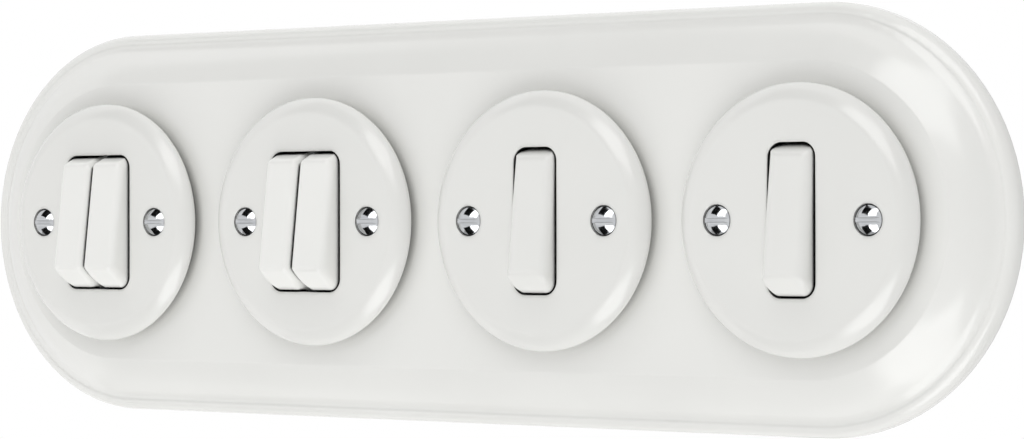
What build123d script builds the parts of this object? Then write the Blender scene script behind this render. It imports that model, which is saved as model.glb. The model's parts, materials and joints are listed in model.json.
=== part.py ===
from build123d import *
from math import asin, cos, hypot, radians, sin, sqrt
import os

# Four-gang porcelain wall switch, in millimetres.
# X runs along the row, Z points up and the wall is the plane Y = 0.
# A depth is a distance out of the wall, towards -Y. A negative depth lies behind the wall.

# Row: rockers in each gang, from left to right
ROCKERS_PER_GANG = (2, 2, 1, 1)
GANG_PITCH = 71.0

# Surround, as a section from its middle line outwards
SURROUND_HALF_WIDTH = 50.0
FIELD_HALF_WIDTH = 36.4
FIELD_DEPTH = 9.7
FIELD_THICKNESS = 4.2
ROLL_RUN = 8.4
ROLL_TOP_TILT = 18.0
ROLL_END_TILT = 42.0
COVE_RUN = 2.3
COVE_END_TILT = 8.0
RIM_LIFT = 0.12
EDGE_RADIUS = 2.6
FOOT_WIDTH = 4.6
HOLLOW_FLANK_RUN = 3.0
HOLLOW_FLANK_DEPTH = 2.1
GANG_HOLE_RADIUS = 26.0
GANG_HOLE_EDGE = 0.5

# Cover plate
PLATE_RADIUS = 31.2
PLATE_STAND = 6.8
PLATE_THICKNESS = 4.0
PLATE_FLAT_RADIUS = 27.2
BEVEL_DROP = 2.9
BEVEL_BULGE = 0.48
RIM_ROUND = 0.7
SHADOW_GAP = 2.8
SHADOW_DEPTH = 2.6
SPIGOT_LENGTH = 2.4
SPIGOT_WALL = 2.9
SPIGOT_CLEARANCE = 0.3
OPENING_HEIGHT = 35.0
OPENING_CORNER = 3.4
OPENING_EDGE = 0.45
OPENING_SIDE_DRAFT = 0.15

# Rocker
ROCKER_WIDTH_SINGLE = 11.4
ROCKER_WIDTH_DOUBLE = 10.4
ROCKER_SIDE_GAP = 0.5
ROCKER_MIDDLE_GAP = 0.5
ROCKER_END_GAP = 0.5
ROCKER_TILT = 7.5
ROCKER_PROUD_SINGLE = 3.0
ROCKER_PROUD_DOUBLE = 4.8
ROCKER_EDGE_SINGLE = 2.4
ROCKER_EDGE_DOUBLE = 1.8
ROCKER_FACE_HALF = 13.9
ROCKER_FACE_ROUND = 1.5
ROCKER_FACET_END = 6.1
ROCKER_FACET_ROUND = 0.8
ROCKER_CORNER = 2.5
ROCKER_SKIRT_END = 1.5
ROCKER_WALL = 1.8
ROCKER_CORE_HALF = 3.6
HUB_RADIUS = 2.8
PIVOT_BELOW_PLATE = 3.0

# Pivot pin and the leg that carries the plunger
PIN_RADIUS = 1.0
PIN_CLEARANCE = 0.05
PIN_PROUD = 0.7
PIN_CHAMFER = 0.25
LEG_WIDTH = 6.0
LEG_CORNER = 1.0
LEG_LENGTH = 11.5
BORE_RADIUS = 2.1
BORE_ROOF = 3.7

# Plunger and its spring
PLUNGER_CLEARANCE = 0.06
PLUNGER_HEAD_LENGTH = 4.2
PLUNGER_NECK_RADIUS = 1.2
PLUNGER_REACH = 16.0
SPRING_LENGTH = 4.4
SPRING_WIRE = 0.5
SPRING_PLAY = 0.05

# Contact lever, a shallow V that rocks on the common terminal
LEVER_RATIO = 1.5
LEVER_GAP = 0.15
LEVER_TOP = 1.9
LEVER_RISE = 10.0
LEVER_ARM = 9.1
LEVER_STRIP = 0.8
LEVER_WIDTH = 5.0
LEVER_SADDLE = 0.75
FULCRUM_RADIUS = 0.95
FULCRUM_CLEARANCE = 0.06
FULCRUM_WIDTH = 4.0
BUTTON_RADIUS = 1.5
BUTTON_HEIGHT = 0.7
BUTTON_REACH = 7.3

# Terminals
CONTACT_GAP = 0.12
CONTACT_STRIP = 0.9
CONTACT_WIDTH = 4.0
CONTACT_OUTER = 10.2
FOOT_STRIP = 1.2
COMMON_RISER = 10.6
BLOCK_LENGTH = 8.0
BLOCK_WIDTH = 7.0
BLOCK_DEPTH = 8.0
BLOCK_CLEARANCE = 0.2
WIRE_HOLE_RADIUS = 1.5
WIRE_ENTRY_RADIUS = 1.8
WIRE_HOLE_LENGTH = 6.0
TERMINAL_SCREW_RADIUS = 1.5
TERMINAL_SCREW_LENGTH = 2.6
TERMINAL_HEAD_RADIUS = 2.5
TERMINAL_HEAD_HEIGHT = 1.7

# Mounting plate
MOUNT_RADIUS = 34.5
MOUNT_THICKNESS = 1.2
BOX_SCREW_SPACING = 60.0
BOX_SLOT_LENGTH = 7.0
BOX_SLOT_WIDTH = 4.2
EAR_THICKNESS = 1.2
EAR_ROOT_HALF = 5.2
EAR_TOP_RADIUS = 2.4
EAR_CLEARANCE = 0.3
EAR_HOLE_CLEARANCE = 0.02

# Insulating base
BASE_SIZE = 41.0
BASE_CORNER = 3.5
BASE_DEPTH = 29.0
BASE_EDGE = 1.0
CAVITY_HALF_WIDTH = 12.4
CAVITY_HALF_HEIGHT = 12.0
CAVITY_DEPTH = 17.0
CAVITY_CORNER = 1.0
PARTITION_THICKNESS = 1.8
PARTITION_HEIGHT = 14.0
POCKET_FLOOR = 1.3

# Cover screws, their posts and the base rivets
SCREW_SPACING = 39.6
SCREW_RADIUS = 1.5
SCREW_HOLE_RADIUS = 1.8
SCREW_HEAD_RADIUS = 3.5
SCREW_HEAD_DOME = 1.5
SCREW_HEAD_SINK = 0.45
SCREW_SEAT_CLEARANCE = 0.2
SCREW_SLOT_WIDTH = 1.1
SCREW_SLOT_DEPTH = 1.2
SCREW_END_DEPTH = 2.6
DISH_RADIUS = 5.25
DISH_DEPTH = 0.35
POST_RADIUS = 2.4
POST_HEIGHT = 6.8
POST_SPIGOT_RADIUS = 2.0
POST_CLEARANCE = 0.05
RIVET_PLACE = 17.0
RIVET_RADIUS = 1.25
RIVET_HEAD_RADIUS = 2.3
RIVET_HEAD_HEIGHT = 0.8
RIVET_LENGTH = 9.0
RIVET_CLEARANCE = 0.05

# Sizes that follow from the ones above
END_CENTRE = GANG_PITCH * (len(ROCKERS_PER_GANG) - 1) / 2
PLATE_FACE = FIELD_DEPTH + PLATE_STAND
PLATE_BACK = PLATE_FACE - PLATE_THICKNESS
PIVOT_DEPTH = PLATE_BACK - PIVOT_BELOW_PLATE
ROCKER_END_RADIUS = hypot(OPENING_HEIGHT / 2 - ROCKER_END_GAP, PLATE_FACE - PIVOT_DEPTH)
PLUNGER_RADIUS = BORE_RADIUS - PLUNGER_CLEARANCE
LEVER_DEPTH = PIVOT_DEPTH - PLUNGER_REACH - LEVER_GAP - LEVER_TOP
LEVER_TILT = LEVER_RATIO * ROCKER_TILT
BLOCK_FRONT = -CAVITY_DEPTH - POCKET_FLOOR - BLOCK_CLEARANCE
BLOCK_BACK = BLOCK_FRONT - BLOCK_DEPTH
WIRE_DEPTH = BLOCK_FRONT - BLOCK_DEPTH / 2
THROW_BLOCK_INNER = CONTACT_OUTER - CONTACT_STRIP

# Planes: sections with depth upwards, seen from the side or from above
SIDE = Plane(origin=(0, 0, 0), x_dir=(0, 0, 1), z_dir=(1, 0, 0))
TURNED = Plane(origin=(0, 0, 0), x_dir=(1, 0, 0), z_dir=(0, 0, -1))


def from_wall(sketch, start, end):
    """Extrudes a front-view sketch (X, Z) from one depth to another."""
    return extrude(Plane.XZ.offset(start) * sketch, amount=end - start)


def across(sketch, width):
    """Extrudes a side-view sketch (Z, depth) to a width centred on X = 0."""
    return Pos(-width / 2, 0, 0) * extrude(SIDE * sketch, amount=width)


def turned(sketch):
    """Spins a section (radius, depth) about the line X = Z = 0."""
    return revolve(TURNED * sketch, Axis((0, 0, 0), (0, -1, 0)))


def tilt_about(shape, depth, angle):
    """Turns a shape about the X direction at a depth; a positive angle brings the top out."""
    return Pos(0, -depth, 0) * Rot(angle, 0, 0) * Pos(0, depth, 0) * shape


def gang_centre(gang):
    """X of a gang, counted from 0 at the left."""
    return gang * GANG_PITCH - END_CENTRE


def rocker_width(gang):
    return ROCKER_WIDTH_SINGLE if ROCKERS_PER_GANG[gang] == 1 else ROCKER_WIDTH_DOUBLE


def rocker_face(gang):
    """Distance of a rocker's face from its pivot."""
    proud = ROCKER_PROUD_SINGLE if ROCKERS_PER_GANG[gang] == 1 else ROCKER_PROUD_DOUBLE
    return PLATE_THICKNESS + PIVOT_BELOW_PLATE + proud


def rocker_places(gang):
    """X of each rocker from its gang's centre."""
    count = ROCKERS_PER_GANG[gang]
    step = rocker_width(gang) + ROCKER_MIDDLE_GAP
    return [(i - (count - 1) / 2) * step for i in range(count)]


def rockers_half_width(gang):
    """Half the width of the gang's rockers side by side."""
    return rocker_places(gang)[-1] + rocker_width(gang) / 2


def rocker_names(gang):
    if ROCKERS_PER_GANG[gang] == 1:
        return [f"{gang + 1}"]
    return [f"{gang + 1}_left", f"{gang + 1}_right"]


def arc_radius(run, tilt, end_tilt):
    """Radius of an arc that covers a run while its slope changes from one tilt to the other."""
    return abs(run / (sin(radians(end_tilt)) - sin(radians(tilt))))


def falling(tilt):
    """Direction that leads outwards and falls by a tilt."""
    return cos(radians(tilt)), -sin(radians(tilt))


def moulded_section():
    """Half section of the surround: field, roll, cove, rounded edge and hollow back."""
    field_end = (FIELD_HALF_WIDTH, FIELD_DEPTH)
    roll_radius = arc_radius(ROLL_RUN, ROLL_TOP_TILT, ROLL_END_TILT)
    roll = JernArc(field_end, falling(ROLL_TOP_TILT), roll_radius, ROLL_TOP_TILT - ROLL_END_TILT)
    cove_radius = arc_radius(COVE_RUN, ROLL_END_TILT, COVE_END_TILT)
    cove = JernArc(roll @ 1, falling(ROLL_END_TILT), cove_radius, ROLL_END_TILT - COVE_END_TILT)
    edge_start = (SURROUND_HALF_WIDTH - EDGE_RADIUS, (cove @ 1).Y + RIM_LIFT)
    edge_end = (SURROUND_HALF_WIDTH, edge_start[1] - EDGE_RADIUS)
    field_back = FIELD_DEPTH - FIELD_THICKNESS
    hollow_half = SURROUND_HALF_WIDTH - FOOT_WIDTH
    flank = (hollow_half - HOLLOW_FLANK_RUN, HOLLOW_FLANK_DEPTH)
    outline = [
        Line((0, FIELD_DEPTH), field_end),
        roll,
        cove,
        Line(cove @ 1, edge_start),
        JernArc(edge_start, (1, 0), EDGE_RADIUS, -90),
        Line(edge_end, (SURROUND_HALF_WIDTH, 0)),
        Line((SURROUND_HALF_WIDTH, 0), (hollow_half, 0)),
        Line((hollow_half, 0), flank),
        Line(flank, (FIELD_HALF_WIDTH, field_back)),
        Line((FIELD_HALF_WIDTH, field_back), (0, field_back)),
        Line((0, field_back), (0, FIELD_DEPTH)),
    ]
    return make_face(outline)


def surround():
    """Porcelain surround: a straight run with a round end at each side and a hole for each gang."""
    section = SIDE * moulded_section()
    run = extrude(section, amount=END_CENTRE)
    right = run + Pos(END_CENTRE, 0, 0) * revolve(section, Axis((0, 0, 0), (0, 1, 0)), 90)
    right += mirror(right, Plane.XY)
    body = right + mirror(right, Plane.YZ)
    hole = make_face(Polyline(
        (0, 0), (GANG_HOLE_RADIUS, 0), (GANG_HOLE_RADIUS, FIELD_DEPTH - GANG_HOLE_EDGE),
        (GANG_HOLE_RADIUS + GANG_HOLE_EDGE, FIELD_DEPTH), (0, FIELD_DEPTH), close=True,
    ))
    for gang in range(len(ROCKERS_PER_GANG)):
        body -= Pos(gang_centre(gang), 0, 0) * turned(hole)
    return body


def plate_section():
    """Half section of a cover plate: face, rounded rim, shadow gap, seat and spigot."""
    rim = (PLATE_RADIUS, PLATE_FACE - BEVEL_DROP)
    flat = (PLATE_FLAT_RADIUS, PLATE_FACE)
    bulge = BEVEL_BULGE / sqrt(2)
    middle = ((rim[0] + flat[0]) / 2 + bulge, (rim[1] + flat[1]) / 2 + bulge)
    lip = FIELD_DEPTH + SHADOW_GAP
    neck = PLATE_RADIUS - SHADOW_DEPTH
    spigot = GANG_HOLE_RADIUS - SPIGOT_CLEARANCE
    spigot_end = FIELD_DEPTH - SPIGOT_LENGTH
    inner = spigot - SPIGOT_WALL
    outline = [
        Line((0, PLATE_FACE), flat),
        ThreePointArc(flat, middle, rim),
        Line(rim, (PLATE_RADIUS, lip + RIM_ROUND)),
        JernArc((PLATE_RADIUS, lip + RIM_ROUND), (0, -1), RIM_ROUND, -90),
        Line((PLATE_RADIUS - RIM_ROUND, lip), (neck, lip)),
        Line((neck, lip), (neck, FIELD_DEPTH)),
        Line((neck, FIELD_DEPTH), (spigot, FIELD_DEPTH)),
        Line((spigot, FIELD_DEPTH), (spigot, spigot_end)),
        Line((spigot, spigot_end), (inner, spigot_end)),
        Line((inner, spigot_end), (inner, PLATE_BACK)),
        Line((inner, PLATE_BACK), (0, PLATE_BACK)),
        Line((0, PLATE_BACK), (0, PLATE_FACE)),
    ]
    return make_face(outline)


def opening(gang):
    """Tool for the rocker opening: it widens inwards so that the rocker's ends can swing."""
    width = 2 * (rockers_half_width(gang) + ROCKER_SIDE_GAP)
    front = RectangleRounded(width, OPENING_HEIGHT, OPENING_CORNER)
    back_height = 2 * (ROCKER_END_RADIUS + ROCKER_END_GAP / 3)
    back = RectangleRounded(width + 2 * OPENING_SIDE_DRAFT, back_height, OPENING_CORNER)
    return loft([Plane.XZ.offset(PLATE_BACK) * back, Plane.XZ.offset(PLATE_FACE) * front])


def screw_seat():
    """Tool for a screw seat: shallow dish, cone for the head and clearance hole."""
    ball = (DISH_RADIUS**2 + DISH_DEPTH**2) / (2 * DISH_DEPTH)
    dish = Pos(0, -(PLATE_FACE + ball - DISH_DEPTH), 0) * Sphere(ball)
    dish &= from_wall(Circle(DISH_RADIUS + DISH_DEPTH), PLATE_FACE - DISH_DEPTH, PLATE_FACE + DISH_DEPTH)
    top = PLATE_FACE - SCREW_HEAD_SINK
    wide = SCREW_HEAD_RADIUS + SCREW_SEAT_CLEARANCE
    cone_end = top - (wide - SCREW_HOLE_RADIUS)
    sink = make_face(Polyline(
        (0, PLATE_FACE), (wide, PLATE_FACE), (wide, top), (SCREW_HOLE_RADIUS, cone_end),
        (SCREW_HOLE_RADIUS, PLATE_BACK), (0, PLATE_BACK), close=True,
    ))
    return dish + turned(sink)


def cover_plate(gang):
    """Round porcelain plate that clamps the surround and frames the rockers."""
    plate = turned(plate_section()) - opening(gang)
    rim = rockers_half_width(gang) + ROCKER_SIDE_GAP
    front = [e for e in plate.edges() if abs(e.center().Y + PLATE_FACE) < 1e-6]
    front = [e for e in front if e.length < 2 * PLATE_RADIUS and abs(e.center().X) <= rim]
    plate = fillet(front, OPENING_EDGE)
    for side in (-1, 1):
        plate -= Pos(side * SCREW_SPACING / 2, 0, 0) * screw_seat()
    return plate


def cover_screw():
    """Slotted raised-head screw with its axis on the origin."""
    rim = PLATE_FACE - SCREW_HEAD_SINK
    crown = rim + SCREW_HEAD_DOME
    ball = (SCREW_HEAD_RADIUS**2 + SCREW_HEAD_DOME**2) / (2 * SCREW_HEAD_DOME)
    half = asin(SCREW_HEAD_RADIUS / ball) / 2
    middle = (ball * sin(half), crown - ball * (1 - cos(half)))
    cone_end = rim - (SCREW_HEAD_RADIUS - SCREW_RADIUS)
    section = make_face([
        ThreePointArc((0, crown), middle, (SCREW_HEAD_RADIUS, rim)),
        Polyline(
            (SCREW_HEAD_RADIUS, rim), (SCREW_RADIUS, cone_end),
            (SCREW_RADIUS, SCREW_END_DEPTH), (0, SCREW_END_DEPTH), (0, crown),
        ),
    ])
    slot = from_wall(Rectangle(3 * SCREW_HEAD_RADIUS, SCREW_SLOT_WIDTH), crown - SCREW_SLOT_DEPTH, crown + 1)
    return turned(section) - slot


def screw_post():
    """Threaded brass pillar on the mounting plate for a cover screw."""
    bore = SCREW_RADIUS + POST_CLEARANCE
    spigot = from_wall(Circle(POST_SPIGOT_RADIUS), 0, MOUNT_THICKNESS)
    pillar = from_wall(Circle(POST_RADIUS), MOUNT_THICKNESS, MOUNT_THICKNESS + POST_HEIGHT)
    return spigot + pillar - from_wall(Circle(bore), 0, MOUNT_THICKNESS + POST_HEIGHT)


def rocker_side_view(gang):
    """Side view of a rocker about its pivot: flat face and two facets, before its ends are cut."""
    face = rocker_face(gang)
    facet_z = sqrt(ROCKER_END_RADIUS**2 - ROCKER_FACET_END**2)
    view = make_face(Polyline(
        (-ROCKER_END_RADIUS, ROCKER_SKIRT_END), (-ROCKER_END_RADIUS, ROCKER_FACET_END),
        (-facet_z, ROCKER_FACET_END), (-ROCKER_FACE_HALF, face),
        (ROCKER_FACE_HALF, face), (facet_z, ROCKER_FACET_END),
        (ROCKER_END_RADIUS, ROCKER_FACET_END), (ROCKER_END_RADIUS, ROCKER_SKIRT_END), close=True,
    ))
    return fillet(view.vertices().group_by(Axis.Y)[-1], ROCKER_FACE_ROUND)


def rocker_cross_section(gang):
    """Cross-section of a rocker (X, depth) with its two long edges rounded."""
    face = rocker_face(gang)
    edge = ROCKER_EDGE_SINGLE if ROCKERS_PER_GANG[gang] == 1 else ROCKER_EDGE_DOUBLE
    section = Rectangle(rocker_width(gang), face - ROCKER_SKIRT_END)
    section = fillet(section.vertices().group_by(Axis.Y)[-1], edge)
    return Pos(0, (face + ROCKER_SKIRT_END) / 2) * section


def rocker_shell(gang):
    """Outside of a rocker: a round-edged disc about the pivot, cut to its side view and cross-section."""
    width = rocker_width(gang)
    disc = across(Circle(ROCKER_END_RADIUS), width)
    disc = fillet(disc.edges().filter_by(GeomType.CIRCLE), ROCKER_CORNER)
    section = extrude(TURNED * rocker_cross_section(gang), amount=ROCKER_END_RADIUS, both=True)
    shell = disc & across(rocker_side_view(gang), width) & section
    by_height = shell.faces().sort_by(Axis.Z)
    ends = [by_height[0], by_height[-1], *shell.faces().filter_by(GeomType.TORUS)]
    facets = [f for f in shell.faces().filter_by(GeomType.PLANE) if abs(f.normal_at().Z) > 1e-6]
    rims = [e for f in facets for e in f.edges() if any(e in end.edges() for end in ends)]
    return fillet(rims, ROCKER_FACET_ROUND)


def rocker(gang):
    """Rocker about a pivot on the origin, untilted: shell with two pockets, core, hub and leg."""
    width = rocker_width(gang)
    shell = rocker_shell(gang)
    reach = ROCKER_FACE_HALF + ROCKER_WALL / 2 - ROCKER_CORE_HALF
    pocket = Rectangle(width - 2 * ROCKER_WALL, reach)
    roof = rocker_face(gang) - 2 * ROCKER_WALL
    for side in (-1, 1):
        place = Pos(0, side * (ROCKER_CORE_HALF + reach / 2))
        shell -= from_wall(place * pocket, ROCKER_SKIRT_END, roof)
    hub = across(Circle(HUB_RADIUS), LEG_WIDTH)
    leg = from_wall(RectangleRounded(LEG_WIDTH, LEG_WIDTH, LEG_CORNER), -LEG_LENGTH, ROCKER_SKIRT_END)
    body = shell + hub + leg
    body -= across(Circle(PIN_RADIUS + PIN_CLEARANCE), width)
    return body - from_wall(Circle(BORE_RADIUS), -LEG_LENGTH, -BORE_ROOF)


def plunger():
    """Plunger in the rocker's leg, about the pivot, with a round nose."""
    head_top = -BORE_ROOF - SPRING_LENGTH
    neck_top = head_top - PLUNGER_HEAD_LENGTH
    nose = -PLUNGER_REACH + PLUNGER_NECK_RADIUS
    slant = PLUNGER_RADIUS - PLUNGER_NECK_RADIUS
    corner = PLUNGER_NECK_RADIUS * sqrt(0.5)
    section = make_face([
        Polyline(
            (0, head_top), (PLUNGER_RADIUS, head_top), (PLUNGER_RADIUS, neck_top),
            (PLUNGER_NECK_RADIUS, neck_top - slant), (PLUNGER_NECK_RADIUS, nose),
        ),
        ThreePointArc((PLUNGER_NECK_RADIUS, nose), (corner, nose - corner), (0, -PLUNGER_REACH)),
        Line((0, -PLUNGER_REACH), (0, head_top)),
    ])
    return turned(section)


def plunger_spring():
    """Spring behind the plunger, as the sleeve that its turns fill."""
    outer = PLUNGER_RADIUS - SPRING_PLAY
    ring = Circle(outer) - Circle(outer - SPRING_WIRE)
    return from_wall(ring, -BORE_ROOF - SPRING_LENGTH + SPRING_PLAY, -BORE_ROOF - SPRING_PLAY)


def contact_lever():
    """See-saw lever about its fulcrum on the origin: two rising arms, two buttons and a saddle."""
    rise = radians(LEVER_RISE)
    tip = (LEVER_ARM * cos(rise), LEVER_TOP + LEVER_ARM * sin(rise))
    under = (tip[0] + LEVER_STRIP * sin(rise), tip[1] - LEVER_STRIP * cos(rise))
    bend = LEVER_TOP - LEVER_STRIP / cos(rise)
    strip = make_face(Polyline(
        (0, LEVER_TOP), tip, under, (0, bend), (-under[0], under[1]), (-tip[0], tip[1]), close=True,
    ))
    hole = FULCRUM_RADIUS + FULCRUM_CLEARANCE
    saddle = Circle(hole + LEVER_SADDLE) & Pos(0, LEVER_TOP / 2) * Rectangle(4 * hole, LEVER_TOP)
    lever = across(strip + saddle - Circle(hole), LEVER_WIDTH)
    button = Pos(0, BUTTON_REACH) * Circle(BUTTON_RADIUS)
    button = from_wall(button, LEVER_TOP - LEVER_STRIP - BUTTON_HEIGHT, LEVER_TOP - LEVER_STRIP)
    button = tilt_about(button, LEVER_TOP, LEVER_RISE)
    return lever + button + mirror(button, Plane.XY)


def closed_contact():
    """Place (Z, depth) of the lower button's face while its contact is closed."""
    rise, tilt = radians(LEVER_RISE), radians(LEVER_TILT)
    under = LEVER_STRIP + BUTTON_HEIGHT
    z = -(BUTTON_REACH * cos(rise) + under * sin(rise))
    depth = LEVER_TOP + BUTTON_REACH * sin(rise) - under * cos(rise)
    return z * cos(tilt) - depth * sin(tilt), LEVER_DEPTH + z * sin(tilt) + depth * cos(tilt)


def terminal_block():
    """Clamp block along +Z from its inner end, with a wire hole and a screw hole from behind."""
    centre = Pos(0, BLOCK_LENGTH / 2)
    block = from_wall(centre * Rectangle(BLOCK_WIDTH, BLOCK_LENGTH), BLOCK_BACK, BLOCK_FRONT)
    wire = Plane.XY.offset(BLOCK_LENGTH) * Pos(0, -WIRE_DEPTH) * Circle(WIRE_HOLE_RADIUS)
    block -= extrude(wire, amount=-WIRE_HOLE_LENGTH)
    screw = centre * Circle(TERMINAL_SCREW_RADIUS + POST_CLEARANCE)
    return block - from_wall(screw, BLOCK_BACK, WIRE_DEPTH)


def throw_contact():
    """Lower fixed contact of one see-saw: pad, riser and clamp block."""
    contact_z, contact_depth = closed_contact()
    pad_top = contact_depth - CONTACT_GAP
    inner = -contact_z - BUTTON_RADIUS
    pad = Rectangle(CONTACT_WIDTH, CONTACT_OUTER - inner)
    pad = from_wall(Pos(0, -(CONTACT_OUTER + inner) / 2) * pad, pad_top - CONTACT_STRIP, pad_top)
    riser = Pos(0, -CONTACT_OUTER + CONTACT_STRIP / 2) * Rectangle(CONTACT_WIDTH, CONTACT_STRIP)
    riser = from_wall(riser, BLOCK_FRONT, pad_top)
    block = Pos(0, 0, -THROW_BLOCK_INNER) * mirror(terminal_block(), Plane.XY)
    return pad + riser + block


def common_side(place):
    """Side on which a see-saw's common terminal leaves the base."""
    return -1 if place < 0 else 1


def common_terminal(place):
    """Common terminal of the see-saw at X = place: fulcrum, foot, riser and clamp block."""
    side = common_side(place)
    stem = Rectangle(2 * FULCRUM_RADIUS, LEVER_DEPTH + CAVITY_DEPTH)
    stem = Pos(0, (LEVER_DEPTH - CAVITY_DEPTH) / 2) * stem
    fulcrum = Pos(place, 0, 0) * across(stem + Pos(0, LEVER_DEPTH) * Circle(FULCRUM_RADIUS), FULCRUM_WIDTH)
    inner = place * side - FULCRUM_WIDTH / 2
    outer = COMMON_RISER + FOOT_STRIP
    foot = Pos(side * (inner + outer) / 2, 0) * Rectangle(outer - inner, 2 * FULCRUM_RADIUS)
    foot = from_wall(foot, -CAVITY_DEPTH, -CAVITY_DEPTH + FOOT_STRIP)
    riser = Pos(side * (COMMON_RISER + FOOT_STRIP / 2), 0) * Rectangle(FOOT_STRIP, 2 * FULCRUM_RADIUS)
    riser = from_wall(riser, BLOCK_FRONT, -CAVITY_DEPTH + FOOT_STRIP)
    block = Pos(side * COMMON_RISER, 0, 0) * Rot(0, side * 90, 0) * terminal_block()
    return fulcrum + foot + riser + block


def terminal_places(gang):
    """Clamp blocks of a gang: inner end (X, Z) and the turn about Y that leads outwards."""
    places = []
    for place in rocker_places(gang):
        side = common_side(place)
        places += [(place, THROW_BLOCK_INNER, 0), (place, -THROW_BLOCK_INNER, 180)]
        places.append((side * COMMON_RISER, 0, side * 90))
    return places


def terminal_screw():
    """Clamp screw of a block that leads along +Z."""
    centre = Pos(0, BLOCK_LENGTH / 2)
    head = from_wall(centre * Circle(TERMINAL_HEAD_RADIUS), BLOCK_BACK - TERMINAL_HEAD_HEIGHT, BLOCK_BACK)
    head -= from_wall(
        centre * Rectangle(3 * TERMINAL_HEAD_RADIUS, SCREW_SLOT_WIDTH),
        BLOCK_BACK - TERMINAL_HEAD_HEIGHT,
        BLOCK_BACK - TERMINAL_HEAD_HEIGHT / 2,
    )
    shank = centre * Circle(TERMINAL_SCREW_RADIUS)
    return head + from_wall(shank, BLOCK_BACK, BLOCK_BACK + TERMINAL_SCREW_LENGTH)


def mounting_plate(gang):
    """Pressed steel plate on the wall: box-screw slots, window and two ears for the pivot pin."""
    ear_inner = rockers_half_width(gang) + EAR_CLEARANCE
    ear_outer = ear_inner + EAR_THICKNESS
    sheet = Circle(MOUNT_RADIUS) - Rectangle(2 * ear_outer, 2 * CAVITY_HALF_HEIGHT)
    for side in (-1, 1):
        slot = SlotOverall(BOX_SLOT_LENGTH, BOX_SLOT_WIDTH)
        sheet -= Pos(side * BOX_SCREW_SPACING / 2, 0) * slot
        sheet -= Pos(side * SCREW_SPACING / 2, 0) * Circle(POST_SPIGOT_RADIUS + POST_CLEARANCE)
        sheet -= Pos(side * RIVET_PLACE, side * RIVET_PLACE) * Circle(RIVET_RADIUS + RIVET_CLEARANCE)
    plate = from_wall(sheet, 0, MOUNT_THICKNESS)
    ear = make_face(Polyline(
        (-EAR_ROOT_HALF, 0), (EAR_ROOT_HALF, 0), (EAR_TOP_RADIUS, PIVOT_DEPTH),
        (-EAR_TOP_RADIUS, PIVOT_DEPTH), close=True,
    ))
    ear += Pos(0, PIVOT_DEPTH) * Circle(EAR_TOP_RADIUS)
    ear -= Pos(0, PIVOT_DEPTH) * Circle(PIN_RADIUS + EAR_HOLE_CLEARANCE)
    for side in (-1, 1):
        plate += Pos(side * (ear_inner + EAR_THICKNESS / 2), 0, 0) * across(ear, EAR_THICKNESS)
    return plate


def pivot_pin(gang):
    """Steel pin through the ears and the rockers."""
    half = rockers_half_width(gang) + EAR_CLEARANCE + EAR_THICKNESS + PIN_PROUD
    pin = across(Pos(0, PIVOT_DEPTH) * Circle(PIN_RADIUS), 2 * half)
    return chamfer(pin.edges().filter_by(GeomType.CIRCLE), PIN_CHAMFER)


def switch_base(gang):
    """Moulded base: open cavity in front, terminal pockets behind and wire entries at the ends."""
    body = from_wall(RectangleRounded(BASE_SIZE, BASE_SIZE, BASE_CORNER), -BASE_DEPTH, 0)
    body = chamfer(body.faces().sort_by(Axis.Y)[-1].edges(), BASE_EDGE)
    cavity = RectangleRounded(2 * CAVITY_HALF_WIDTH, 2 * CAVITY_HALF_HEIGHT, CAVITY_CORNER)
    body -= from_wall(cavity, -CAVITY_DEPTH, 0)
    if ROCKERS_PER_GANG[gang] > 1:
        partition = Rectangle(PARTITION_THICKNESS, 2 * CAVITY_HALF_HEIGHT)
        body += from_wall(partition, -CAVITY_DEPTH, -CAVITY_DEPTH + PARTITION_HEIGHT)
    gap = BLOCK_CLEARANCE
    pocket = Pos(0, BLOCK_LENGTH / 2) * Rectangle(BLOCK_WIDTH + 2 * gap, BLOCK_LENGTH + 2 * gap)
    pocket = from_wall(pocket, -BASE_DEPTH, BLOCK_FRONT + gap)
    entry = extrude(Pos(0, -WIRE_DEPTH) * Circle(WIRE_ENTRY_RADIUS), amount=BASE_SIZE)
    for x, z, turn in terminal_places(gang):
        body -= Pos(x, 0, z) * Rot(0, turn, 0) * (pocket + entry)
    throw_slot = Rectangle(CONTACT_WIDTH + 2 * gap, CONTACT_STRIP + 2 * gap)
    common_slot = Rectangle(FOOT_STRIP + 2 * gap, 2 * FULCRUM_RADIUS + 2 * gap)
    for place in rocker_places(gang):
        for side in (-1, 1):
            slot = Pos(place, side * (CONTACT_OUTER - CONTACT_STRIP / 2)) * throw_slot
            body -= from_wall(slot, BLOCK_FRONT, -CAVITY_DEPTH)
        slot = Pos(common_side(place) * (COMMON_RISER + FOOT_STRIP / 2), 0) * common_slot
        body -= from_wall(slot, BLOCK_FRONT, -CAVITY_DEPTH)
    for side in (-1, 1):
        hole = Pos(side * RIVET_PLACE, side * RIVET_PLACE) * Circle(RIVET_RADIUS + RIVET_CLEARANCE)
        body -= from_wall(hole, -RIVET_LENGTH, 0)
    return body


def base_rivet():
    """Round-head rivet through the mounting plate into the base."""
    head = from_wall(Circle(RIVET_HEAD_RADIUS), MOUNT_THICKNESS, MOUNT_THICKNESS + RIVET_HEAD_HEIGHT)
    head = fillet(head.edges().filter_by(GeomType.CIRCLE).sort_by(Axis.Y)[0], RIVET_HEAD_HEIGHT / 2)
    return head + from_wall(Circle(RIVET_RADIUS), -RIVET_LENGTH, MOUNT_THICKNESS)


def save(name, *solids):
    """Writes one node, or a group of like solids, to parts/."""
    shape = solids[0] if len(solids) == 1 else Compound(children=list(solids))
    export_step(shape, f"parts/{name}.step")


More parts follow.
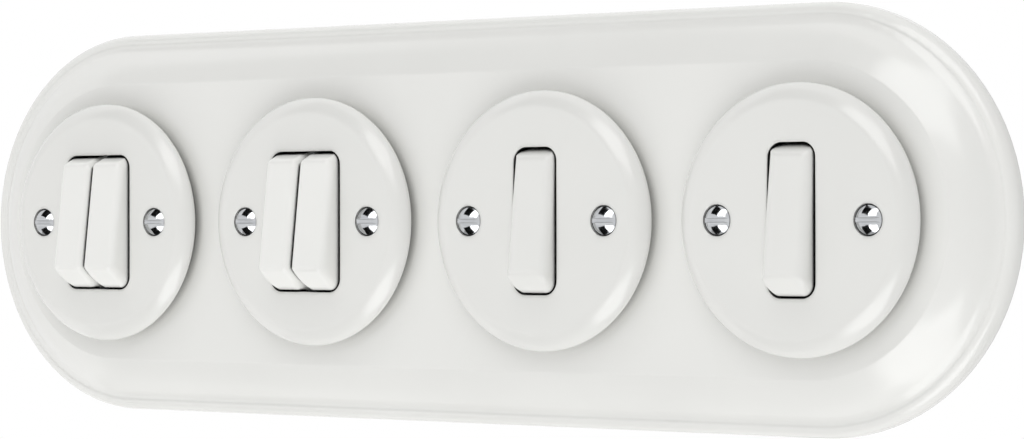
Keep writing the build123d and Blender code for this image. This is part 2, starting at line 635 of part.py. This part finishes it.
def main():
    os.makedirs("parts", exist_ok=True)
    save("surround", surround())
    cover_screws, screw_posts, terminal_screws, base_rivets = [], [], [], []
    at_pivot = Pos(0, -PIVOT_DEPTH, 0) * Rot(-ROCKER_TILT, 0, 0)
    at_fulcrum = Pos(0, -LEVER_DEPTH, 0) * Rot(LEVER_TILT, 0, 0)
    for gang in range(len(ROCKERS_PER_GANG)):
        number = gang + 1
        centre = Pos(gang_centre(gang), 0, 0)
        save(f"cover_plate_{number}", centre * cover_plate(gang))
        save(f"mounting_plate_{number}", centre * mounting_plate(gang))
        save(f"pivot_pin_{number}", centre * pivot_pin(gang))
        save(f"switch_base_{number}", centre * switch_base(gang))
        throws, commons = [], []
        for name, place in zip(rocker_names(gang), rocker_places(gang)):
            here = centre * Pos(place, 0, 0)
            save(f"rocker_{name}", here * at_pivot * rocker(gang))
            save(f"plunger_{name}", here * at_pivot * plunger())
            save(f"plunger_spring_{name}", here * at_pivot * plunger_spring())
            save(f"contact_lever_{name}", here * at_fulcrum * contact_lever())
            throws += [here * throw_contact(), here * mirror(throw_contact(), Plane.XY)]
            commons.append(centre * common_terminal(place))
        save(f"throw_contacts_{number}", *throws)
        save(f"common_terminals_{number}", *commons)
        for x, z, turn in terminal_places(gang):
            terminal_screws.append(centre * Pos(x, 0, z) * Rot(0, turn, 0) * terminal_screw())
        for side in (-1, 1):
            cover_screws.append(centre * Pos(side * SCREW_SPACING / 2, 0, 0) * cover_screw())
            screw_posts.append(centre * Pos(side * SCREW_SPACING / 2, 0, 0) * screw_post())
            base_rivets.append(centre * Pos(side * RIVET_PLACE, 0, side * RIVET_PLACE) * base_rivet())
    save("cover_screws", *cover_screws)
    save("screw_posts", *screw_posts)
    save("terminal_screws", *terminal_screws)
    save("base_rivets", *base_rivets)


main()
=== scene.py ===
import json
import logging
import math
from dataclasses import dataclass, replace
from enum import Enum

import bmesh
import bpy
from mathutils import Matrix, Vector


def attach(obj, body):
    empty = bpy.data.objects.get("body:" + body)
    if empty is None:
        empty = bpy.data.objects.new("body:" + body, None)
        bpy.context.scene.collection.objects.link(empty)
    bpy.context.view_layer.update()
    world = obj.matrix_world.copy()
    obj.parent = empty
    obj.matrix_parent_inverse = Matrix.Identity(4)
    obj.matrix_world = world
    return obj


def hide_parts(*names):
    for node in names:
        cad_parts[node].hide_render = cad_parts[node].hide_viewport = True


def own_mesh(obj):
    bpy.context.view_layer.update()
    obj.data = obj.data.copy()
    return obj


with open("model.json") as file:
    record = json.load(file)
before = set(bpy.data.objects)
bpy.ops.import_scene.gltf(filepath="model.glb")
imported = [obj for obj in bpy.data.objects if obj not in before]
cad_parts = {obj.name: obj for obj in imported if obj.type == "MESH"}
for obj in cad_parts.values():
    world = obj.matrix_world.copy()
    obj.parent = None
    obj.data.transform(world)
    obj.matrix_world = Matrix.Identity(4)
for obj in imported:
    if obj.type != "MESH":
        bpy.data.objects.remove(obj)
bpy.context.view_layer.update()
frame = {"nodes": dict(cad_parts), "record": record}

LOG = logging.getLogger("porcelain_switch")
MM = 0.001
FRAME_WIDTH_PX = 1024
NOISE_LOW, NOISE_HIGH = 0.3, 0.7
GRAIN_DETAIL, RELIEF_DETAIL, CLOUD_DETAIL = 3.0, 2.0, 4.0
SHADING_SAMPLES = 8


def linear(colour: str) -> tuple[float, float, float, float]:
    """Turns an sRGB hex colour into a linear one.

    Args:
        colour: six hex digits with a leading hash.

    Returns:
        Linear red, green, blue and an alpha of 1.
    """
    parts = [int(colour[i:i + 2], 16) / 255 for i in (1, 3, 5)]
    red, green, blue = [c / 12.92 if c <= 0.04045 else ((c + 0.055) / 1.055) ** 2.4 for c in parts]
    return (red, green, blue, 1.0)


def per_metre(size_mm: float) -> float:
    """Scale of a texture whose features are size_mm across."""
    return 1 / (size_mm * MM)


def direction(azimuth_deg: float, elevation_deg: float) -> Vector:
    """Finds the direction of a place in the studio as seen from the row.

    Args:
        azimuth_deg: angle from the front, positive towards +X.
        elevation_deg: angle above the level.

    Returns:
        The unit vector.
    """
    azimuth, elevation = math.radians(azimuth_deg), math.radians(elevation_deg)
    return Vector((
        math.sin(azimuth) * math.cos(elevation),
        -math.cos(azimuth) * math.cos(elevation),
        math.sin(elevation),
    ))


def facing_back(away: Vector) -> Matrix:
    """Turn of a thing placed along a direction whose own -Z looks back at the row."""
    return (-away).to_track_quat("-Z", "Y").to_matrix().to_4x4()


def empty_tree(owner: bpy.types.Material | bpy.types.World) -> bpy.types.NodeTree:
    """Turns on the nodes of a material or a world and clears them.

    Args:
        owner: the material or world.

    Returns:
        Its empty node tree.
    """
    owner.use_nodes = True
    owner.node_tree.nodes.clear()
    return owner.node_tree


def add_node(tree: bpy.types.NodeTree, kind: str, settings: dict, inputs: dict) -> bpy.types.Node:
    """Adds one node with its settings and links.

    Args:
        tree: the node tree that takes the node.
        kind: the node's type name.
        settings: the node's own properties.
        inputs: a constant or an output socket for each named input.

    Returns:
        The new node.
    """
    node = tree.nodes.new(kind)
    for name, value in settings.items():
        setattr(node, name, value)
    for name, value in inputs.items():
        if isinstance(value, bpy.types.NodeSocket):
            tree.links.new(value, node.inputs[name])
        else:
            node.inputs[name].default_value = value
    return node


def new_object(name: str, shape: bmesh.types.BMesh) -> bpy.types.Object:
    """Turns a bmesh into an object at the origin and frees it.

    Args:
        name: the object's and the mesh's name.
        shape: the finished bmesh.

    Returns:
        The object, linked into the scene.
    """
    mesh = bpy.data.meshes.new(name)
    shape.to_mesh(mesh)
    shape.free()
    made = bpy.data.objects.new(name, mesh)
    bpy.context.scene.collection.objects.link(made)
    return made


def matt_paint(name: str, tone: str) -> bpy.types.Material:
    """Makes a matt one-tone material for the studio's own things.

    Args:
        name: the material's name.
        tone: its sRGB hex colour.

    Returns:
        The material.
    """
    made = bpy.data.materials.new(name)
    tree = empty_tree(made)
    paint = add_node(tree, "ShaderNodeBsdfDiffuse", {}, {"Color": linear(tone)})
    add_node(tree, "ShaderNodeOutputMaterial", {}, {"Surface": paint.outputs["BSDF"]})
    return made


class Pattern(Enum):
    """How the two tones of a finish lie: lowest and highest value of its texture that counts."""

    CLOUDED = (0.32, 0.68)
    DRAWN = (0.30, 0.70)
    SPECKLED = (0.14, 0.32)


@dataclass(frozen=True)
class PaintedGapShade:
    """Painted shade in narrow gaps: its tone, how near a surface counts, and how open a shut and a clear gap
    are.
    """

    tone: str
    reach_mm: float
    shut: float
    clear: float


@dataclass(frozen=True)
class Finish:
    """A real surface: two tones, gloss and relief, each with its size in millimetres, and painted shade in
    narrow gaps where given.
    """

    name: str
    tone: str
    second_tone: str
    pattern: Pattern
    pattern_mm: float
    roughness: float
    roughness_spread: float
    grain_mm: float
    relief_mm: float
    relief_depth_mm: float
    metallic: float = 0.0
    ior: float = 1.5
    drawn_out: float = 14.0
    painted_shade: PaintedGapShade | None = None
    edge_mm: float = 0.0

    def material(self) -> bpy.types.Material:
        """Builds the node material.

        Returns:
            The material, ready to be assigned.
        """
        made = bpy.data.materials.new(self.name)
        tree = empty_tree(made)
        stretch = (1 / self.drawn_out, 1.0, 1.0) if self.pattern is Pattern.DRAWN else (1.0, 1.0, 1.0)
        place = add_node(tree, "ShaderNodeTexCoord", {}, {})
        turn = add_node(tree, "ShaderNodeMapping", {}, {"Vector": place.outputs["Object"], "Scale": stretch})
        grain = add_node(tree, "ShaderNodeTexNoise", {}, {
            "Vector": turn.outputs["Vector"], "Scale": per_metre(self.grain_mm), "Detail": GRAIN_DETAIL,
        })
        gloss = add_node(tree, "ShaderNodeMapRange", {}, {
            "Value": grain.outputs["Fac"], "From Min": NOISE_LOW, "From Max": NOISE_HIGH,
            "To Min": self.roughness - self.roughness_spread,
            "To Max": self.roughness + self.roughness_spread,
        })
        shader = add_node(tree, "ShaderNodeBsdfPrincipled", {}, {
            "Base Color": self.with_painted_shade(tree, self.colour(tree, turn.outputs["Vector"])),
            "Roughness": gloss.outputs["Result"],
            "Metallic": self.metallic,
            "IOR": self.ior,
            "Normal": self.relief(tree, turn.outputs["Vector"]),
        })
        add_node(tree, "ShaderNodeOutputMaterial", {}, {"Surface": shader.outputs["BSDF"]})
        return made

    def relief(self, tree: bpy.types.NodeTree, place: bpy.types.NodeSocket) -> bpy.types.NodeSocket:
        """Lays the fine relief over the surface, and over softened edges where the finish has them.

        Args:
            tree: the material's node tree.
            place: the coordinates of the relief.

        Returns:
            The normal output.
        """
        height = add_node(tree, "ShaderNodeTexNoise", {}, {
            "Vector": place, "Scale": per_metre(self.relief_mm), "Detail": RELIEF_DETAIL,
        })
        bump = add_node(tree, "ShaderNodeBump", {}, {
            "Height": height.outputs["Fac"], "Strength": 1.0, "Distance": self.relief_depth_mm * MM,
        })
        if self.edge_mm:
            edge = add_node(tree, "ShaderNodeBevel", {"samples": SHADING_SAMPLES}, {
                "Radius": self.edge_mm * MM,
            })
            tree.links.new(edge.outputs["Normal"], bump.inputs["Normal"])
        return bump.outputs["Normal"]

    def colour(self, tree: bpy.types.NodeTree, place: bpy.types.NodeSocket) -> bpy.types.NodeSocket:
        """Lays the two tones in the finish's pattern.

        Args:
            tree: the material's node tree.
            place: the coordinates of the pattern.

        Returns:
            The colour output.
        """
        size = {"Vector": place, "Scale": per_metre(self.pattern_mm)}
        if self.pattern is Pattern.SPECKLED:
            spread = add_node(tree, "ShaderNodeTexVoronoi", {}, size).outputs["Distance"]
        else:
            size["Detail"] = CLOUD_DETAIL
            spread = add_node(tree, "ShaderNodeTexNoise", {}, size).outputs["Fac"]
        tones = add_node(tree, "ShaderNodeValToRGB", {}, {"Fac": spread})
        ends = zip(tones.color_ramp.elements, self.pattern.value, (self.second_tone, self.tone))
        for end, level, tone in ends:
            end.position = level
            end.color = linear(tone)
        return tones.outputs["Color"]

    def with_painted_shade(self, tree: bpy.types.NodeTree, colour: bpy.types.NodeSocket) -> bpy.types.NodeSocket:
        """Paints shade into a colour where another surface is close.

        Args:
            tree: the material's node tree.
            colour: the open surface's colour.

        Returns:
            The colour output.
        """
        if self.painted_shade is None:
            return colour
        # Painted shade: ambient occlusion mixes the dark tone into the colour in narrow gaps.
        near = add_node(tree, "ShaderNodeAmbientOcclusion", {"samples": SHADING_SAMPLES}, {
            "Distance": self.painted_shade.reach_mm * MM,
        })
        opened = add_node(tree, "ShaderNodeMapRange", {}, {
            "Value": near.outputs["AO"], "From Min": self.painted_shade.shut, "From Max": self.painted_shade.clear,
        })
        mix = add_node(tree, "ShaderNodeMixRGB", {}, {
            "Fac": opened.outputs["Result"], "Color1": linear(self.painted_shade.tone), "Color2": colour,
        })
        return mix.outputs["Color"]


# Slip-cast porcelain under a clear glaze: an even white that barely clouds, a wet gloss, and slow
# ripples of the fired glaze, which runs thick over creases and softens them.
SURROUND_PORCELAIN = Finish(
    "slip_cast_porcelain", tone="#ECECE9", second_tone="#E9E9E6", pattern=Pattern.CLOUDED, pattern_mm=46.0,
    roughness=0.17, roughness_spread=0.03, grain_mm=7.0, relief_mm=15.0, relief_depth_mm=0.02, ior=1.53,
    # Painted shade: the colour darkens to a near-black tone in narrow gaps and beside the plates.
    painted_shade=PaintedGapShade("#121110", reach_mm=4.0, shut=0.08, clear=0.58), edge_mm=0.7,
)
# Pressed porcelain of the plates: a shade greyer to the eye than the surround, with softer edges.
PLATE_PORCELAIN = replace(
    SURROUND_PORCELAIN, name="plate_porcelain", tone="#E7E7E4", second_tone="#E5E5E2", pattern_mm=31.0,
    # Painted shade: the colour darkens to a near-black tone in narrow gaps, over a shorter reach.
    painted_shade=PaintedGapShade("#0C0B0B", reach_mm=1.6, shut=0.38, clear=0.62), edge_mm=1.4,
)
# Pressed porcelain of the rockers: whiter and glossier than the plates, and the narrow ones of the double gangs
# the whitest.
SINGLE_PORCELAIN = replace(
    PLATE_PORCELAIN, name="single_rocker_porcelain", tone="#EAEAE7", second_tone="#E8E8E5", pattern_mm=17.0,
    roughness=0.14,
)
DOUBLE_PORCELAIN = replace(
    SINGLE_PORCELAIN, name="double_rocker_porcelain", tone="#F1F1EE", second_tone="#EFEFEC",
)
# Polished chrome plate on turned brass: a mirror with a cold tone and hairline polish marks, with painted shade
# darkening it in the slot and under the head.
CHROME_PLATE = Finish(
    "polished_chrome_plate", tone="#CBCDCF", second_tone="#B9BBBE", pattern=Pattern.DRAWN, pattern_mm=0.8,
    roughness=0.1, roughness_spread=0.04, grain_mm=0.5, relief_mm=0.7, relief_depth_mm=0.0012, metallic=1.0,
    painted_shade=PaintedGapShade("#2B2A29", reach_mm=0.9, shut=0.2, clear=0.7),
)
# Zinc-plated pressed steel: a dull blue-grey with cloudy passivation and fine rolling marks.
ZINC_PLATE = Finish(
    "zinc_plated_steel", tone="#B4B8BC", second_tone="#9BA0A4", pattern=Pattern.CLOUDED, pattern_mm=6.0,
    roughness=0.36, roughness_spread=0.08, grain_mm=1.2, relief_mm=0.8, relief_depth_mm=0.004, metallic=1.0,
)
# Drawn and ground steel: bright, with fine lines along the wire or pin.
GROUND_STEEL = Finish(
    "ground_steel", tone="#C2C3C4", second_tone="#A4A6A8", pattern=Pattern.DRAWN, pattern_mm=0.35,
    roughness=0.22, roughness_spread=0.06, grain_mm=0.5, relief_mm=0.4, relief_depth_mm=0.002, metallic=1.0,
)
# Bare brass strip and rod: yellow with browner tarnish in clouds.
BARE_BRASS = Finish(
    "bare_brass", tone="#C9A55A", second_tone="#9C7636", pattern=Pattern.CLOUDED, pattern_mm=3.5,
    roughness=0.27, roughness_spread=0.08, grain_mm=1.0, relief_mm=0.6, relief_depth_mm=0.003, metallic=1.0,
)
# Compression-moulded phenolic with wood-flour filler: dark brown with small paler specks and a dull skin.
MOULDED_PHENOLIC = Finish(
    "moulded_phenolic", tone="#33241D", second_tone="#4A372C", pattern=Pattern.SPECKLED, pattern_mm=1.4,
    roughness=0.38, roughness_spread=0.07, grain_mm=1.5, relief_mm=0.9, relief_depth_mm=0.006, ior=1.55,
)
# Injection-moulded nylon: milky off-white with a soft sheen.
MOULDED_NYLON = Finish(
    "moulded_nylon", tone="#E6E2D6", second_tone="#DAD6C9", pattern=Pattern.CLOUDED, pattern_mm=5.0,
    roughness=0.42, roughness_spread=0.05, grain_mm=1.0, relief_mm=0.7, relief_depth_mm=0.004, ior=1.53,
)

SLOT_FINISHES: dict[str, Finish] = {
    "porcelain": SURROUND_PORCELAIN,
    "chrome_plate": CHROME_PLATE,
    "zinc_plated_steel": ZINC_PLATE,
    "bright_steel": GROUND_STEEL,
    "brass": BARE_BRASS,
    "phenolic_moulding": MOULDED_PHENOLIC,
    "white_nylon": MOULDED_NYLON,
}
BATCHES: dict[str, Finish] = {
    "cover_plate": PLATE_PORCELAIN,
    "rocker_1": DOUBLE_PORCELAIN,
    "rocker_2": DOUBLE_PORCELAIN,
    "rocker_3": SINGLE_PORCELAIN,
    "rocker_4": SINGLE_PORCELAIN,
}


class Wardrobe:
    """The finishes as materials: one for each slot of the record, and one for each other porcelain batch."""

    def __init__(self) -> None:
        """Builds every material once."""
        made = {finish: finish.material() for finish in (*SLOT_FINISHES.values(), *BATCHES.values())}
        self.materials = {key: made[finish] for key, finish in {**SLOT_FINISHES, **BATCHES}.items()}

    def dress(self, piece: bpy.types.Object, key: str) -> None:
        """Gives a piece the material of a slot or batch."""
        piece.data.materials.clear()
        piece.data.materials.append(self.materials[key])

    def dress_nodes(self) -> None:
        """Gives each carried-over node the material of its batch, or else of its slot."""
        for part in frame["record"]["subparts"]:
            key = next((batch for batch in BATCHES if part["node"].startswith(batch)), part["material_slot"])
            self.dress(frame["nodes"][part["node"]], key)
            LOG.info("%s: %s", part["node"], key)


@dataclass
class PlungerSprings:
    """The helical springs behind the plungers, wound from round wire, with two closed end turns."""

    slot: str = "bright_steel"
    coil_radius_mm: float = 1.74
    wire_radius_mm: float = 0.245
    wire_sides: int = 10
    roof_mm: float = 3.7
    play_mm: float = 0.05
    length_mm: float = 4.3
    travel_mm: float = 1.0
    tilt_deg: float = 7.5
    end_turns: float = 0.75
    open_turns: float = 4.0
    steps_per_turn: int = 28
    weld_mm: float = 0.0001

    def build(self, wardrobe: Wardrobe) -> None:
        """Winds one spring for each rocker in place of its plain sleeve.

        Args:
            wardrobe: the materials.
        """
        tilt = Matrix.Rotation(math.radians(-self.tilt_deg), 4, "X")
        for joint in frame["record"]["behaviour"]["joints"]:
            if not joint["name"].startswith("rocker_"):
                continue
            unit = joint["name"].removeprefix("rocker_").removesuffix("_tilt")
            pivot = Matrix.Translation(Vector(joint["pos_m"])) @ tilt
            piece = new_object(f"wound_spring_{unit}", self.wind(pivot))
            wardrobe.dress(piece, self.slot)
            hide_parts(f"plunger_spring_{unit}")
            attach(piece, f"rocker_{unit}")
            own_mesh(piece)
            LOG.info("%s: %s", piece.name, self.slot)

    def wind(self, pivot: Matrix) -> bmesh.types.BMesh:
        """Winds the wire about the plunger's line.

        Args:
            pivot: place and tilt of the rocker's pivot.

        Returns:
            The closed coil.
        """
        shape = bmesh.new()
        start = self.roof_mm + self.play_mm + self.wire_radius_mm
        section = Matrix.Translation((self.coil_radius_mm * MM, start * MM, 0))
        ring = bmesh.ops.create_circle(
            shape, cap_ends=True, segments=self.wire_sides, radius=self.wire_radius_mm * MM, matrix=section,
        )["verts"]
        closed_rise = 2 * self.wire_radius_mm * self.end_turns
        open_rise = self.length_mm - 2 * self.wire_radius_mm - 2 * closed_rise
        geometry = list({edge for vert in ring for edge in vert.link_edges})
        height = 0.0
        for turns, rise in (
            (self.end_turns, closed_rise), (self.open_turns, open_rise), (self.end_turns, closed_rise),
        ):
            steps = round(turns * self.steps_per_turn)
            last = bmesh.ops.spin(
                shape, geom=geometry, cent=(0, height, 0), axis=(0, 1, 0), dvec=(0, rise * MM / steps, 0),
                angle=math.tau * turns, steps=steps,
            )["geom_last"]
            geometry = [item for item in last if isinstance(item, bmesh.types.BMEdge)]
            height += rise * MM
        bmesh.ops.contextual_create(shape, geom=geometry)
        bmesh.ops.remove_doubles(shape, verts=shape.verts[:], dist=self.weld_mm * MM)
        bmesh.ops.recalc_face_normals(shape, faces=shape.faces[:])
        for face in shape.faces:
            face.smooth = True
        bmesh.ops.transform(shape, verts=shape.verts[:], matrix=pivot)
        return shape


@dataclass(frozen=True)
class Placed:
    """A piece of studio gear that faces the middle of the row, placed by its direction from there."""

    name: str
    azimuth_deg: float
    elevation_deg: float
    size: tuple[float, float]
    distance: float = 1.2

    def place(self) -> Matrix:
        """Place and turn: the gear's own -Z looks at the row."""
        away = self.distance * direction(self.azimuth_deg, self.elevation_deg)
        return Matrix.Translation(away) @ facing_back(away)


class LampUse(Enum):
    """What a lamp gives the porcelain: soft light, or the shine that its glaze mirrors."""

    LIGHT = "light"
    SHINE = "shine"


@dataclass(frozen=True)
class Softbox(Placed):
    """One rectangular lamp."""

    power: float = 1.0
    use: LampUse = LampUse.LIGHT

    def build(self) -> None:
        """Adds the lamp to the scene."""
        data = bpy.data.lights.new(self.name, "AREA")
        data.shape = "RECTANGLE"
        data.size, data.size_y = self.size
        data.energy = self.power
        lamp = bpy.data.objects.new(self.name, data)
        lamp.matrix_world = self.place()
        lamp.visible_camera = False
        lamp.visible_glossy = self.use is LampUse.SHINE
        lamp.visible_diffuse = self.use is LampUse.LIGHT
        bpy.context.scene.collection.objects.link(lamp)


@dataclass(frozen=True)
class Flag(Placed):
    """One black cloth card that only reflections see, as is held up to chrome."""

    tone: str = "#181818"

    def build(self) -> None:
        """Adds the card to the scene."""
        shape = bmesh.new()
        bmesh.ops.create_grid(shape, x_segments=1, y_segments=1, size=0.5)
        bmesh.ops.scale(shape, vec=(*self.size, 1.0), verts=shape.verts[:])
        bmesh.ops.transform(shape, matrix=self.place(), verts=shape.verts[:])
        card = new_object(self.name, shape)
        card.data.materials.append(matt_paint("black_cloth", self.tone))
        card.visible_camera = card.visible_diffuse = card.visible_shadow = card.visible_transmission = False


@dataclass
class Studio:
    """White surroundings, a pale floor well below the switch, soft lamps and two flags."""

    floor_level: float = -1.8
    floor_size: float = 5.0
    floor_sides: int = 96
    floor_tone: str = "#EFEFEE"
    world_tone: str = "#FFFFFF"
    seen_strength: float = 1.0
    fill_strength: float = 0.44
    # Name, azimuth and elevation in degrees, then size and distance in metres and power in watts.
    softboxes: tuple[Softbox, ...] = (
        Softbox("upper_softbox", 16.0, 48.0, size=(1.2, 1.6), distance=1.6, power=8.2),
        Softbox("lower_softbox", 22.0, -50.0, size=(1.27, 1.6), distance=1.6, power=10.2),
        Softbox("front_panel", -22.0, 0.0, size=(1.4, 0.8), distance=1.3, power=0.8),
        Softbox("left_panel", -75.0, 0.0, size=(1.6, 2.4), power=1.5),
        Softbox("upper_left_panel", -50.0, 70.0, size=(1.2, 1.2), distance=1.4, power=4.2),
        Softbox("lower_left_panel", -50.0, -58.0, size=(1.2, 1.2), distance=1.4, power=4.0),
        Softbox("upper_side_softbox", 100.0, 45.0, size=(0.8, 0.8), power=2.0),
        Softbox("lower_side_softbox", 100.0, -45.0, size=(0.8, 0.8), power=2.0),
        Softbox("back_softbox", 212.0, 12.0, size=(1.2, 1.2), distance=1.4, power=8.0),
        Softbox("upper_shine", 13.0, 41.0, size=(1.16, 1.0), distance=1.6, power=8.4, use=LampUse.SHINE),
        Softbox("lower_shine", 18.0, -45.0, size=(1.16, 1.0), distance=1.6, power=9.6, use=LampUse.SHINE),
    )
    flags: tuple[Flag, ...] = (
        Flag("upper_flag", -37.0, 47.0, size=(1.0, 0.8)),
        Flag("lower_flag", -37.0, -47.0, size=(1.0, 0.8)),
    )

    def build(self) -> None:
        """Builds the world, the floor, the lamps and the flags."""
        self.build_world()
        self.build_floor()
        for gear in (*self.softboxes, *self.flags):
            gear.build()

    def build_world(self) -> None:
        """White to the eye and in reflections, a softer fill for everything else."""
        world = bpy.data.worlds.new("white_studio")
        bpy.context.scene.world = world
        tree = empty_tree(world)
        ray = add_node(tree, "ShaderNodeLightPath", {}, {})
        seen = add_node(tree, "ShaderNodeMath", {"operation": "MAXIMUM"}, {
            0: ray.outputs["Is Camera Ray"], 1: ray.outputs["Is Glossy Ray"],
        })
        shown = add_node(tree, "ShaderNodeMath", {"operation": "MAXIMUM"}, {
            0: seen.outputs["Value"], 1: ray.outputs["Is Transmission Ray"],
        })
        fill, white = [
            add_node(tree, "ShaderNodeBackground", {}, {"Color": linear(self.world_tone), "Strength": strength})
            for strength in (self.fill_strength, self.seen_strength)
        ]
        mix = add_node(tree, "ShaderNodeMixShader", {}, {
            0: shown.outputs["Value"], 1: fill.outputs["Background"], 2: white.outputs["Background"],
        })
        add_node(tree, "ShaderNodeOutputWorld", {}, {"Surface": mix.outputs["Shader"]})

    def build_floor(self) -> None:
        """A plain round floor far below, which only gives back light."""
        shape = bmesh.new()
        bmesh.ops.create_circle(
            shape, cap_ends=True, segments=self.floor_sides, radius=self.floor_size / 2,
            matrix=Matrix.Translation((0, 0, self.floor_level)),
        )
        floor = new_object("floor", shape)
        floor.data.materials.append(matt_paint("painted_floor", self.floor_tone))


@dataclass
class ProductCamera:
    """Camera at the photograph's place, to the right of the row and level with it."""

    azimuth_deg: float = 36.01
    elevation_deg: float = -0.16
    roll_deg: float = -0.065
    distance: float = 0.786
    centre: tuple[float, float, float] = (0.01722, 0.0, 0.00014)
    focal_px: float = 3198.8
    sensor_mm: float = 36.0
    off_centre_px: tuple[float, float] = (0.94, 1.1)
    clip: tuple[float, float] = (0.05, 20.0)

    def build(self) -> None:
        """Adds the camera and makes it the scene's."""
        data = bpy.data.cameras.new("product_camera")
        data.sensor_fit = "HORIZONTAL"
        data.sensor_width = self.sensor_mm
        data.lens = self.focal_px / FRAME_WIDTH_PX * self.sensor_mm
        data.shift_x = -self.off_centre_px[0] / FRAME_WIDTH_PX
        data.shift_y = self.off_centre_px[1] / FRAME_WIDTH_PX
        data.clip_start, data.clip_end = self.clip
        camera = bpy.data.objects.new("product_camera", data)
        back = direction(self.azimuth_deg, self.elevation_deg)
        roll = Matrix.Rotation(math.radians(self.roll_deg), 4, "Z")
        place = Matrix.Translation(Vector(self.centre) + back * self.distance)
        camera.matrix_world = place @ facing_back(back) @ roll
        bpy.context.scene.collection.objects.link(camera)
        bpy.context.scene.camera = camera


def main() -> None:
    """Dresses the frame, winds the springs, then builds the studio and the camera."""
    logging.basicConfig(level=logging.INFO, format="%(name)s: %(message)s")
    bpy.context.scene.view_settings.view_transform = "Standard"
    wardrobe = Wardrobe()
    wardrobe.dress_nodes()
    PlungerSprings().build(wardrobe)
    Studio().build()
    ProductCamera().build()


if __name__ == "__main__":
    main()
